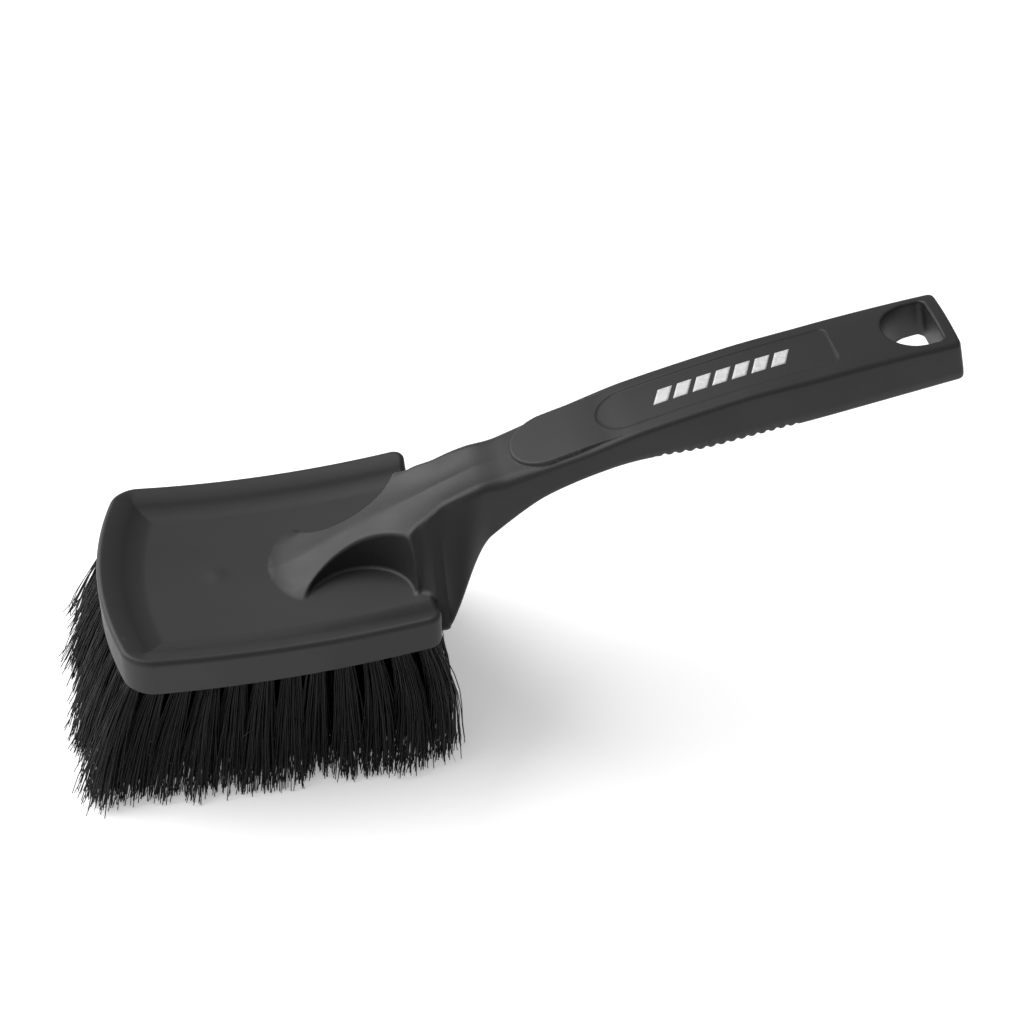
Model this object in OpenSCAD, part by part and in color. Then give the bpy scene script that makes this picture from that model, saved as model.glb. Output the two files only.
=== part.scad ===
// Wheel brush: moulded dished block with a cranked handle, drilled and filled with anchored bristle tufts.
// Own frame: +X from the block towards the handle end, +Z up, bristle tips on Z = 0.

/* [Node] */
// Which sub-part to draw, or all of them

/* [Block] */
// Length from the corner of the front edge to the rear face
block_length = 101; // [80:1:130]
// Width over the two side walls
block_width = 92; // [70:1:120]
// Forward bulge of the front edge at the middle
front_bulge = 7.6; // [2:0.1:14]
// Radius of the front edge in plan
front_radius = 130; // [80:5:200]
// Radius of the two front corners
front_corner_radius = 7.2; // [7:0.1:16]
// Radius of the two rear corners
rear_corner_radius = 4.5; // [2:0.5:10]
// Height of the side wall
block_height = 13.5; // [10:0.5:18]
// Radius of the lengthwise sag of the block
sag_radius = 400; // [250:10:800]
// Depth of the dish under the rim
dish_depth = 4.7; // [2:0.1:6]
// Width of the flat top of the rim
rim_width = 4.4; // [2:0.1:8]
// Width of the sloping inner face of the rim
rim_slope_width = 7.6; // [2:0.1:12]

/* [Neck] */
// Distance from the front corners to the tip of the neck on the dish floor
nose_start = 46; // [30:1:60]
// Length over which the nose swells to its full width
nose_length = 11; // [6:0.5:20]
// Half width of the nose
nose_half_width = 20.5; // [12:0.5:30]
// Radius of the scooped waist on each side
scoop_radius = 19; // [10:0.5:24]
// Position of the middle of the scooped waist
scoop_x = 76.3; // [60:0.5:90]
// Thickness left between the two scoops
web_thickness = 15; // [8:0.5:24]
// Slope of the neck
neck_slope = 0.535; // [0.3:0.005:0.8]
// Half width of the spread foot at the rear of the block
foot_half_width = 38; // [24:1:44]
// Half width of the neck's flat top between its two edge ridges
ridge_half_width = 12.6; // [8:0.1:13.5]

/* [Handle] */
// Distance from the front corners to the handle end
handle_end = 277.2; // [220:0.2:330]
// Width of the handle where it leaves the neck
handle_width = 29; // [24:0.5:34]
// Added to each side along the grip
grip_widening = 1.1; // [0:0.1:2.5]
// Added to each side towards the end
end_widening = 0.5; // [0:0.1:2]
// Height of the top of the handle end over the rim
handle_end_height = 70.9; // [40:0.1:100]
// Depth of the handle at its end
handle_depth = 16.1; // [12:0.1:24]
// Slope of the top of the handle at its end
end_slope = 0.14; // [0:0.01:0.3]
// Lengthwise bend of the top of the handle
handle_bend = 0.00074; // [0:0.00001:0.002]
// Corner radius of the handle end in plan
end_corner_radius = 2.8; // [2:0.1:8]
// Fall of the long top edges below the middle of the top near the end
end_crown = 0.8; // [0:0.1:1.5]
// Narrowing of the handle at its rounded lower edges
under_rounding = 2; // [0.5:0.1:4]
// Start of the raised tongue on the top of the handle
tongue_start = 131; // [120:1:150]
// Height of the step at the tongue
tongue_step = 1.1; // [0.4:0.1:2]
// Start of the sunk label panel
panel_start = 160; // [150:1:180]
// End of the sunk label panel
panel_end = 238; // [200:1:245]
// Depth of the sunk label panel
panel_depth = 0.35; // [0.2:0.05:1]
// Number of grip grooves under the handle
grip_grooves = 14; // [6:1:24]
// Pitch of the grip grooves
grip_pitch = 3.2; // [2:0.1:5]
// Start of the grip grooves
grip_start = 177; // [165:1:200]

/* [Hanging hole] */
// Distance from the front corners to the straight side of the hole
hole_flat_x = 272.2; // [200:0.5:320]
// Width of the hole
hole_width = 23.2; // [14:0.2:24]
// Distance from the centre of the round side to the straight side
hole_straight = 5.7; // [4:0.1:10]
// Radius of the two corners of the hole
hole_corner_radius = 2.2; // [1:0.2:5]
// Widening of the hole on each side at the underside
hole_flare = 2.2; // [1:0.1:3]

/* [Bristles] */
// Number of tufts across a row
tufts_across = 9; // [5:2:9]
// Distance between tufts across the block
tuft_pitch = 9.2; // [6:0.1:9.6]
// Distance from the front corners to the first row
first_row_x = 1.2; // [0:0.1:8]
// Distance from the front corners to the last row
last_row_x = 94.6; // [70:0.5:110]
// Radius of a tuft at its root
tuft_root_radius = 2.27; // [1.5:0.01:3]
// Radius of a tuft at its tip
tuft_tip_radius = 4.7; // [2.5:0.1:5.2]
// Free length of a tuft
tuft_length = 50; // [30:1:70]
// Forward lean of the first row
front_lean = 23; // [0:1:24]
// Backward lean of the last row
rear_lean = 7; // [0:1:24]
// Outward lean of the outermost tufts
side_lean = 9; // [0:1:20]
// Radius of the drilled tuft holes
tuft_hole_radius = 2.3; // [1.5:0.01:3]
// Depth of the drilled tuft holes
tuft_hole_depth = 7; // [4:0.1:8]
// Height of the underside of the block's middle over the trimmed tips
trim_height = 44.7; // [30:0.1:60]

/* [Anchors] */
// Thickness of the flat wire anchor
anchor_thickness = 0.5; // [0.3:0.05:0.8]
// Width of the flat wire anchor
anchor_width = 1.8; // [1.2:0.1:2.5]
// Length of the flat wire anchor
anchor_length = 5.4; // [4.8:0.1:6]
// Depth of the middle of the anchor in the hole
anchor_depth = 5.4; // [3:0.1:6]

/* [Hidden] */
slit = 0.02;
tuft_rows = 12;
half_handle = handle_width / 2;
half_block = block_width / 2;
crest_low_x = 35;
under_low_x = 28;
crest_low = 0.7;
under_low = crest_low - block_height;
ground = under_low - trim_height;
row_bow = 2;
end_overhang = 3.2;
tip_reach = 4.33;
length_shift =
  (handle_end + end_overhang + first_row_x - row_bow - tuft_length * sin(front_lean) - tip_reach) / 2;
front_centre = front_radius - front_bulge;
arc_steps = 10;
corner_steps = 7;
side_steps = 14;
row_spread = (last_row_x - first_row_x) / (tuft_rows - 1);
scoop_y = web_thickness / 2 + scoop_radius;
hole_tilt = 10.5;
hole_centre = hole_flat_x - hole_straight;
tongue_end = 176;
panel_half_width = 9.6;
panel_edge_radius = 0.05;
tongue_edge_radius = 0.5;
strip_depth = 4;
groove_radius = 1.25;
groove_drop = 0.65;
rim_round = 1.3;
rim_edge_round = 0.9;
under_bevel = 1.2;
dish_foot_round = 1.6;
dish_run_out = 14;
foot_start = 96;
foot_end = 101.5;
neck_clear_x = 105;
buried_depth = 8.3;
tuft_neck = 1.6;
tuft_clearance = 0.05;
trim_size = [280, 200, 100];
scoop_height = 40;

function clamp01(v) = min(1, max(0, v));
function ease(a, b, v) = let (t = clamp01((v - a) / (b - a))) t * t * (3 - 2 * t);
function mixed(a, b, t) = a + (b - a) * t;
function bump(a, b, v) = sin(180 * clamp01((v - a) / (b - a))) ^ 2;
function low_of(a, b, k) = let (h = clamp01(0.5 + (b - a) / (2 * k))) mixed(b, a, h) - k * h * (1 - h);
function high_of(a, b, k) = -low_of(-a, -b, k);

// Lengthwise sag of the block: the rim, the dish floor and the drilled underside follow it
function crest_z(x) = crest_low + (x - crest_low_x) ^ 2 / (2 * sag_radius);
function under_z(x) = under_low + (x - under_low_x) ^ 2 / (2 * sag_radius);
function floor_z(x) = crest_z(x) - dish_depth;

// Half of the block's outline in plan, moved in by d, with front corner radius rc and rear end at xr
function outline(d, rc, xr, rr) =
  let (
    rf = front_radius - d,
    yc = half_block - d - rc,
    xc = front_centre - sqrt((rf - rc) ^ 2 - yc ^ 2),
    turn = asin(yc / (rf - rc)),
    yr = half_block - d - rr
  )
  concat(
    [
      for (i = [0:arc_steps])
      let (a = mixed(0.3, turn, i / arc_steps))
      [front_centre - rf * cos(a), rf * sin(a)]
    ],
    [
      for (i = [1:corner_steps])
      let (a = mixed(turn, 90, i / corner_steps))
      [xc - rc * cos(a), yc + rc * sin(a)]
    ],
    [for (i = [1:side_steps]) [mixed(xc, xr - rr, i / side_steps), half_block - d]],
    [for (i = [1:5]) let (a = 18 * i) [xr - rr + rr * sin(a), yr + rr * cos(a)]]
  );

// Top line of the neck and handle
function handle_top(x) =
  let (s = handle_end - x)
  handle_end_height - end_slope * s - handle_bend * s * abs(s);
function neck_line(x) = 1.4 + neck_slope * (x - 63.5);
function nose_line(x) = -4 + 0.2 * (x - nose_start);
function top_z(x) = low_of(high_of(neck_line(x), nose_line(x), 2.5), handle_top(x), 3);

// Underside of the neck and handle: buried in the block, then swept up behind it
function sweep_z(x) = -buried_depth + 39 * (max(0, x - neck_clear_x) / 45) ^ 0.8;
function handle_under(x) =
  handle_end_height - handle_depth - 0.21 * (handle_end - x) + 2.6 * bump(140, 196, x);
function buried_z(x) = mixed(-7, -buried_depth, ease(foot_start, 101, x));
function base_z(x) = x < neck_clear_x ? buried_z(x) : low_of(sweep_z(x), handle_under(x), 4);

// Half widths at the ridge and at the foot of each cross-section
function nose_width(x) =
  nose_half_width * (1 - clamp01((nose_start + nose_length - x) / nose_length) ^ 1.8) ^ 0.62;
function spread(x) =
  x < nose_start + nose_length ? nose_width(x)
  : x < foot_start ? mixed(nose_half_width, 30, ease(57, 92, x))
  : mixed(30, foot_half_width, ease(foot_start, foot_end, x));
function handle_half(x) = half_handle + grip_widening * ease(125, 160, x) + end_widening * ease(200, 235, x);
function foot_y(x) = mixed(spread(x), handle_half(x), ease(103, 121, x));
function ridge_along(x) = mixed(ridge_half_width, handle_half(x) - 0.7, ease(124, 150, x));
function ridge_y(x) =
  x < 90 ? 0.62 * foot_y(x)
  : mixed(mixed(0.62 * foot_y(90), 15, ease(90, 99, x)), ridge_along(x), ease(99, 108, x));
function ridge_z(x) =
  top_z(x) + 0.9 * bump(92, 126, x) - 0.5 * ease(126, 140, x) - 0.25 * (1 - ease(47, 60, x));
function flank_power(x) = mixed(mixed(0.3, 1.3, ease(91, 101, x)), 0.3, ease(108, 130, x));
function tongue_drop(x) = tongue_step * ease(118, 128, x) * (1 - ease(150, 172, x));
function end_inset(x) =
  let (s = end_corner_radius - (handle_end - x))
  s <= 0 ? 0 : end_corner_radius - sqrt(max(0, end_corner_radius ^ 2 - s ^ 2));
function lean_back(x) = 0.21 * ease(150, 215, x);
function crown(x) = 0.9 * ease(60, 75, x) * (1 - ease(80, 95, x)) + end_crown * ease(205, 232, x);

// Half of one cross-section at station x, shrunk by s at the very end of the handle
function half_section(x, s) =
  let (
    drop = tongue_drop(x),
    zt = top_z(x) - drop - s,
    zr = ridge_z(x) - drop - s,
    zb = base_z(x) + s,
    e = max(0.35, ridge_y(x) - 0.6 * end_inset(x) - s),
    w = max(0.6, foot_y(x) - end_inset(x) - s),
    p = flank_power(x),
    cut = under_rounding * ease(118, 140, x),
    dip = 0.7 * bump(80, 132, x),
    fall = crown(x),
    k = lean_back(x),
    top = [for (f = [0.02, 0.35, 0.7]) [f * e, mixed(zt, zr, f * f) - dip * sin(180 * f) - fall * f * f]],
    side = [
      for (t = [0, 0.03, 0.09, 0.2, 0.35, 0.52, 0.7, 0.84, 0.94, 1])
      [e + (w - e) * t ^ p - cut * max(0, (t - 0.7) / 0.3) ^ 1.6, mixed(zr - fall, zb, t)]
    ],
    low = [[0.45 * (w - cut), zb - 0.3 * ease(118, 140, x)], [0.04 * w, zb - 0.4 * ease(118, 140, x)]]
  )
  [for (q = concat(top, side, low)) [x + k * (zt - q[1]), q[0], q[1]]];

// Solid through a list of half rings, each mirrored across the middle plane
// Strip ends follow a curved end ring
module loft(halves, strip_ends) {
  n = len(halves[0]);
  m = 2 * n;
  rings = [
    for (h = halves)
    concat([for (q = h) [q[0], -q[1], q[2]]], [for (i = [n - 1:-1:0]) [h[i][0], h[i][1], h[i][2]]])
  ];
  last = (len(rings) - 1) * m;
  pts = [for (r = rings) for (q = r) q];
  sides = [
    for (k = [0:len(rings) - 2]) for (j = [0:m - 1])
    let (a = k * m + j, b = k * m + (j + 1) % m)
    each (strip_ends ? [[a, b, b + m], [a, b + m, a + m]] : [[a, b + m, b], [a, a + m, b + m]])
  ];
  first_cap = [for (i = [0:n - 2]) each [[i + 1, i, m - 1 - i], [i + 1, m - 1 - i, m - 2 - i]]];
  last_cap = [
    for (i = [0:n - 2])
    each [[last + i, last + i + 1, last + m - 1 - i], [last + i + 1, last + m - 2 - i, last + m - 1 - i]]
  ];
  flat_caps = [[for (j = [0:m - 1]) j], [for (j = [m - 1:-1:0]) last + j]];
  ends = strip_ends ? concat(first_cap, last_cap) : flat_caps;
  polyhedron(points = pts, faces = concat(sides, ends), convexity = 8);
}

// Half of the block's outline moved in by d, with all of its corners following
function block_ring(d) =
  outline(d, front_corner_radius - d, block_length - d, rear_corner_radius - d);

// Half ring laid on the sag of the rim or of the underside, then raised
function on_rim(half, lift) = [for (q = half) [q[0], q[1], crest_z(q[0]) + lift]];
function on_under(half, lift) = [for (q = half) [q[0], q[1], under_z(q[0]) + lift]];

module block_solid() {
  loft([
    on_rim(block_ring(rim_round), 0),
    on_rim(block_ring(0.45), -0.4),
    on_rim(block_ring(0), -1.5),
    on_under(block_ring(0), 1.4),
    on_under(block_ring(0.4), 0.4),
    on_under(block_ring(under_bevel), 0)
  ], true);
}

module dish_cut() {
  out = block_length + dish_run_out;
  floor_inset = rim_width + rim_slope_width;
  loft([
    on_rim(outline(rim_width - rim_edge_round, 6.6, out, 1), 0.8),
    on_rim(outline(rim_width, 6, out, 1), -0.15),
    on_rim(outline(floor_inset - dish_foot_round, 4, out, 1), 0.5 - dish_depth),
    on_rim(outline(floor_inset, 3, out, 1), -dish_depth)
  ], true);
}

// Stations along the neck and handle, close together where the section changes fast
stations = concat(
  [46.3, 46.9, 47.9, 49.3, 51.2, 53.6, 56.2],
  [for (v = [60:6:90]) v],
  [for (v = [93:2:103]) v],
  [for (v = [104.4, 105.2, 106.2, 107.6, 109.2]) v],
  [for (v = [111:2.5:131]) v],
  [for (v = [135:6.5:265]) v],
  [for (d = [7.2, 4.8, 2.8, 2.2, 1.5, 0.9, 0.5]) handle_end - d]
);

module neck_and_handle() {
  loft(concat(
    [for (v = stations) half_section(v, 0)],
    [half_section(handle_end - 0.2, 0.4), half_section(handle_end, 1.2)]
  ), false);
}

// Flat strip lying on the handle's top line between two stations, rounded at its head end
module top_strip(x0, x1, half, over, under, round_end) {
  spots = concat([for (a = [8:9:80]) x0 + half * (1 - cos(a))], [for (v = [x0 + half:6:x1 - 1]) v], [x1]);
  loft([
    for (v = spots)
    let (
      h = v < x0 + half ? sqrt(max(0.1, half ^ 2 - (x0 + half - v) ^ 2)) : half,
      zz = top_z(v) + over,
      zl = top_z(v) - under
    )
    [[v, h - round_end, zz], [v, h, zz - round_end], [v, h, zl]]
  ], false);
}

// D-shaped hanging hole, square to the handle
module hole_profile() {
  r = hole_width / 2;
  c = hole_corner_radius;
  circle(r = r, $fn = 64);
  translate([0, -r]) square([hole_flat_x - hole_centre - c, 2 * r]);
  translate([0, -r + c]) square([hole_flat_x - hole_centre, 2 * r - 2 * c]);
  for (s = [-1, 1])
    translate([hole_flat_x - hole_centre - c, s * (r - c)]) circle(r = c, $fn = 32);
}

// Half outline of the hole at one level, its sides spread by a factor
function hole_ring(spread_by, lift) =
  let (r = hole_width / 2, c = hole_corner_radius)
  [
    for (q = concat(
      [for (a = [5:12:89]) [-r * cos(a), r * sin(a)]],
      [for (b = [0:18:90]) [hole_straight - c + c * sin(b), r - c + c * cos(b)]],
      [[hole_straight, 0.4]]
    ))
    [q[0], q[1] * spread_by, lift]
  ];

module hanging_hole() {
  translate([hole_centre, 0, top_z(hole_centre)])
    rotate([0, -hole_tilt, 0]) {
      translate([0, 0, -40])
        linear_extrude(height = 60) hole_profile();
      loft([
        hole_ring(1 + 2.1 * hole_flare / hole_width, -handle_depth - 1),
        hole_ring(0.97, -0.3 * handle_depth)
      ], false);
    }
}

module grip_cuts() {
  for (i = [0:grip_grooves - 1])
    let (x = grip_start + i * grip_pitch)
    translate([x + lean_back(x) * (top_z(x) - base_z(x)), 0, base_z(x) - groove_drop])
      rotate([90, 0, 0])
        cylinder(r = groove_radius, h = handle_width + 8, center = true, $fn = 24);
}

// Tuft layout: the first row follows the bulge of the front edge
function row_x(i) = first_row_x + (i - 1) * row_spread;
function tuft_y(j) = (j - (tufts_across - 1) / 2) * tuft_pitch;
function tuft_x(i, j) = row_x(i) - (i == 1 ? row_bow : 0) * (1 - (tuft_y(j) / half_block) ^ 2 * 2);
function lean_x(i) = mixed(front_lean, -rear_lean, ((i - 1) / (tuft_rows - 1)) ^ 0.8);
function lean_y(j) = side_lean * tuft_y(j) / (tuft_pitch * (tufts_across - 1) / 2);

module at_tuft(i, j) {
  x = tuft_x(i, j);
  translate([x, tuft_y(j), under_z(x)])
    rotate([lean_y(j), lean_x(i), 0])
      children();
}

module tuft_holes(i) {
  for (j = [0:tufts_across - 1])
    at_tuft(i, j)
      translate([0, 0, -2]) cylinder(r = tuft_hole_radius, h = tuft_hole_depth + 2, $fn = 32);
}

module anchor_strips(i, gap) {
  for (j = [0:tufts_across - 1])
    at_tuft(i, j)
      translate([0, 0, anchor_depth])
        cube([anchor_thickness + 2 * gap, anchor_length + 2 * gap, anchor_width + 2 * gap], center = true);
}

module tuft(i, j) {
  root_length = tuft_neck + tuft_hole_depth - tuft_clearance;
  at_tuft(i, j) {
    translate([0, 0, -tuft_neck]) cylinder(r = tuft_root_radius, h = root_length, $fn = 32);
    translate([0, 0, -tuft_length])
      cylinder(r1 = tuft_tip_radius, r2 = tuft_root_radius, h = tuft_length - tuft_neck, $fn = 32);
  }
}

module placed() {
  translate([-length_shift, 0, -ground]) children();
}

module brush_body() {
  color([0.2, 0.2, 0.21])
    placed()
      difference() {
        union() {
          difference() {
            block_solid();
            dish_cut();
          }
          difference() {
            neck_and_handle();
            for (s = [-1, 1])
              translate([scoop_x, s * scoop_y, floor_z(scoop_x) - 4])
                cylinder(r = scoop_radius, h = scoop_height, $fn = 96);
          }
          top_strip(tongue_start, tongue_end, ridge_half_width, 0, strip_depth, tongue_edge_radius);
        }
        top_strip(panel_start, panel_end, panel_half_width, 2, panel_depth, panel_edge_radius);
        hanging_hole();
        grip_cuts();
        for (i = [1:tuft_rows]) {
          tuft_holes(i);
          anchor_strips(i, slit);
        }
      }
}

module tuft_row(i) {
  color([0.05, 0.05, 0.05])
    placed()
      difference() {
        intersection() {
          union() {
            for (j = [0:tufts_across - 1]) tuft(i, j);
          }
          translate([-trim_size[0] / 4, -trim_size[1] / 2, ground]) cube(trim_size);
        }
        anchor_strips(i, slit);
      }
}

module anchor_row(i) {
  color([0.75, 0.76, 0.78])
    placed() anchor_strips(i, 0);
}

brush_body();
tuft_row(1);  // tuft_row_1
tuft_row(2);  // tuft_row_2
tuft_row(3);  // tuft_row_3
tuft_row(4);  // tuft_row_4
tuft_row(5);  // tuft_row_5
tuft_row(6);  // tuft_row_6
tuft_row(7);  // tuft_row_7
tuft_row(8);  // tuft_row_8
tuft_row(9);  // tuft_row_9
tuft_row(10);  // tuft_row_10
tuft_row(11);  // tuft_row_11
tuft_row(12);  // tuft_row_12
anchor_row(1);  // anchor_row_1
anchor_row(2);  // anchor_row_2
anchor_row(3);  // anchor_row_3
anchor_row(4);  // anchor_row_4
anchor_row(5);  // anchor_row_5
anchor_row(6);  // anchor_row_6
anchor_row(7);  // anchor_row_7
anchor_row(8);  // anchor_row_8
anchor_row(9);  // anchor_row_9
anchor_row(10);  // anchor_row_10
anchor_row(11);  // anchor_row_11
anchor_row(12);  // anchor_row_12
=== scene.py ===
import math

import bpy
import numpy as np
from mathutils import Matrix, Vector


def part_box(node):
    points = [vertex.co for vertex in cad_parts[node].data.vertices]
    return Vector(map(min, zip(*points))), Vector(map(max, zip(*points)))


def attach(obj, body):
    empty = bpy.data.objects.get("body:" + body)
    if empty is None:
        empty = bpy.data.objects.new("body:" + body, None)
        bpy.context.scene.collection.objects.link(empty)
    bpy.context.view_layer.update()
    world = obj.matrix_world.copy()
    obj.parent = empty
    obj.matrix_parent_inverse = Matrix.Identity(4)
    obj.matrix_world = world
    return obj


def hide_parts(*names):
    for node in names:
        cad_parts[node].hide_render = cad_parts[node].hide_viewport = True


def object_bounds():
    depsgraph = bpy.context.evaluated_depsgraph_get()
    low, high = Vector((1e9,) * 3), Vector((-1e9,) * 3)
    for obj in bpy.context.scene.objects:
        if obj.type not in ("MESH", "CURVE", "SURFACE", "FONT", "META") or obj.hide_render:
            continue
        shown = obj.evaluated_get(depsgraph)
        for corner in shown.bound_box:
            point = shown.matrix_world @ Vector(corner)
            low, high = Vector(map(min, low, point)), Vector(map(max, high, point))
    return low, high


# Wheel brush: the moulded body is rebuilt as a smooth, filleted surface, the tufts as separate filaments.
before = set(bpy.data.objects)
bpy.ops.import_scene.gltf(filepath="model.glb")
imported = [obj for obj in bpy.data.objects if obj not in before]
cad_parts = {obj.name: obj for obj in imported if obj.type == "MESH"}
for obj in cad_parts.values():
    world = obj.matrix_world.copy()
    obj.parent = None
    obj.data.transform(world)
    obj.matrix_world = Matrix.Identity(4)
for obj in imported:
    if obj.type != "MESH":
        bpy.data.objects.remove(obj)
CAD_BOX = [[float(v) for v in corner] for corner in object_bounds()]

MM = 0.001
BODY_LOW, BODY_HIGH = (np.array(c, float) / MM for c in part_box("brush_body"))

# ---------------------------------------------------------------- driving dimensions, millimetres
# Block
BLOCK_LENGTH = 101.0
HALF_BLOCK = 46.0
FRONT_BULGE = 7.6
FRONT_RADIUS = 130.0
FRONT_CORNER = 7.2
REAR_CORNER = 4.5
BLOCK_HEIGHT = 13.5
SAG_RADIUS = 400.0
CREST_LOW = 0.7
CREST_LOW_X = 35.0
UNDER_LOW_X = 28.0
DISH_DEPTH = 4.7
DISH_FILLET = 2.0
RIM_WIDTH = 4.4
RIM_SLOPE = 7.6
RIM_EDGE = 2.0
RIM_INNER_EDGE = 2.2
UNDER_EDGE = 1.1
GATE_X = 31.4
GATE_RADIUS = 3.2
GATE_HEIGHT = 0.22

# Nose, waist with its scoops, and foot
NOSE_START = 46.0
NOSE_LENGTH = 11.0
NOSE_HALF = 20.5
NOSE_LOW = -4.0
NOSE_SLOPE = 0.2
NOSE_CROWN = 0.8
NOSE_EDGE = 0.9
WAIST_CROWN = 0.9
WAIST_END = 90.0
SPINE_HEIGHT = 1.2
SPINE_HALF = 5.0
SCOOP_RADIUS = 19.0
SCOOP_X = 76.3
SCOOP_Y = 26.5
SCOOP_DRAFT = 0.05
SCOOP_EDGE = 1.1
BEFORE_FOOT_HALF = 30.0
FOOT_START = 96.0
FOOT_END = 101.5
FOOT_HALF = 38.0

# Neck: its top line, its ridges and the sweep behind the block
NECK_X = 63.5
NECK_HEIGHT = 1.4
NECK_SLOPE = 0.535
NECK_CLEAR = 105.0
NECK_HOLLOW = 0.7
NECK_FILLET = 1.1
NECK_EXTRA_EDGE = 1.9
SWEEP_LENGTH = 45.0
SWEEP_HEIGHT = 39.0
BURIED_DEPTH = 8.3
SHOULDER_HALF = 15.0
RIDGE_HALF = 12.6
RIDGE_INSET = 0.7
RIDGE_SHARE = 0.62
RIDGE_LIFT = 1.9
FULL_FLANK = 0.3
HOLLOW_FLANK = 1.3

# Handle
HANDLE_END = 277.2
HANDLE_HALF = 14.5
HANDLE_DEPTH = 16.1
HANDLE_BEND = 0.00074
HANDLE_EDGE = 1.3
GRIP_WIDEN = 1.1
GRIP_LEAN = 0.21
UNDER_SLOPE = 0.21
UNDER_SWELL = 2.6
UNDERSIDE_EDGE = 2.0
END_WIDEN = 0.5
END_HEIGHT = 70.9
END_SLOPE = 0.14
END_CORNER = 2.8
END_EDGE = 1.6
END_CROWN = 0.8

# Tongue and label panel
TONGUE_START = 131.0
TONGUE_STEP = 1.1
TONGUE_FADE_START = 150.0
TONGUE_FADE_END = 172.0
TONGUE_END = 180.0
TONGUE_SINK = 1.2
TONGUE_DEPTH = 4.0
TONGUE_EDGE = 0.55
TONGUE_FILLET = 0.3
PANEL_START = 160.0
PANEL_END = 238.0
PANEL_HALF = 9.6
PANEL_CORNER = 2.5
PANEL_DEPTH = 0.35
# Half width of the painted shade line along the panel and tongue outlines.
LINE_WIDTH = 0.2

# Grip grooves
GRIP_START = 177.0
GRIP_PITCH = 3.2
GRIP_COUNT = 14
GRIP_DEPTH = 0.75

# Hanging hole
HOLE_X = 266.5
HOLE_HALF = 11.6
HOLE_FLAT = 5.7
HOLE_CORNER = 2.2
HOLE_FLARE = 2.2
HOLE_EDGE = 0.9
HOLE_TILT = math.radians(10.5)

# Softening of the flank where it leaves the ridge, and the largest squared slopes allowed for
SOFT = 0.02
SIDE_SLOPE_LIMIT = 80.0
BASE_SLOPE_LIMIT = 9.0

# The design frame has X = 0 at the front corners and Z = 0 near the rim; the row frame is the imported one.
UNDER_LOW = CREST_LOW - BLOCK_HEIGHT
SHIFT = np.array([BODY_LOW[0] + FRONT_BULGE, 0.0, BODY_LOW[2] - UNDER_LOW])


def to_row(points):
    """Design millimetres to row metres."""
    return (np.asarray(points, float) + SHIFT) * MM


# ---------------------------------------------------------------- shape functions
def mixed(a, b, t):
    return a + (b - a) * t


def ease(a, b, v):
    """0 before a, 1 after b, smooth between."""
    t = np.clip((v - a) / (b - a), 0, 1)
    return t * t * (3 - 2 * t)


def bump(a, b, v):
    """0 outside a to b, rising smoothly to 1 half way."""
    return np.sin(np.pi * np.clip((v - a) / (b - a), 0, 1)) ** 2


def low_of(a, b, k):
    """The lower of two heights, blended where they are within k of each other."""
    h = np.clip(0.5 + (b - a) / (2 * k), 0, 1)
    return mixed(b, a, h) - k * h * (1 - h)


def high_of(a, b, k):
    return -low_of(-a, -b, k)


def round_max(a, b, r):
    """Intersection of two fields with an edge of radius r."""
    return np.minimum(np.maximum(a, b), -r) + np.hypot(np.maximum(a + r, 0), np.maximum(b + r, 0))


def round_min(a, b, r):
    """Union of two fields with a fillet of radius r."""
    return -round_max(-a, -b, r)


def crest_z(x):
    """Top of the rim: the whole block sags along a large circle."""
    return CREST_LOW + (x - CREST_LOW_X) ** 2 / (2 * SAG_RADIUS)


def under_z(x):
    return UNDER_LOW + (x - UNDER_LOW_X) ** 2 / (2 * SAG_RADIUS)


def floor_z(x):
    return crest_z(x) - DISH_DEPTH


def handle_top(x):
    """Top line of the handle, bending down from its end towards the neck."""
    s = HANDLE_END - x
    return END_HEIGHT - END_SLOPE * s - HANDLE_BEND * s * np.abs(s)


def top_z(x):
    """Top line of nose, neck and handle in the middle plane."""
    line = NECK_HEIGHT + NECK_SLOPE * (x - NECK_X)
    nose = NOSE_LOW + NOSE_SLOPE * (x - NOSE_START)
    return low_of(high_of(line, nose, 2.5), handle_top(x), 3)


def base_z(x):
    """Lower line: buried in the block, swept up behind it, then the underside of the handle."""
    along = np.maximum(0, x - NECK_CLEAR) / SWEEP_LENGTH
    sweep = -BURIED_DEPTH + SWEEP_HEIGHT * along ** 0.8
    handle = END_HEIGHT - HANDLE_DEPTH - UNDER_SLOPE * (HANDLE_END - x) + UNDER_SWELL * bump(140, 196, x)
    buried = mixed(-7, -BURIED_DEPTH, ease(FOOT_START, 101, x))
    return np.where(x < NECK_CLEAR, buried, low_of(sweep, handle, 4))


def handle_half(x):
    """Half width of the handle."""
    return HANDLE_HALF + GRIP_WIDEN * ease(125, 160, x) + END_WIDEN * ease(200, 235, x)


def crown(x):
    """How far the long edges of the top lie below its middle."""
    nose = NOSE_CROWN * (1 - ease(52, 72, x))
    waist = WAIST_CROWN * ease(60, 75, x) * (1 - ease(80, 95, x))
    return nose + waist + END_CROWN * ease(205, 232, x)


def step_down(x):
    """Drop of the handle top beside the raised tongue."""
    return TONGUE_STEP * ease(118, 128, x) * (1 - ease(TONGUE_FADE_START, TONGUE_FADE_END, x))


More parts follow.
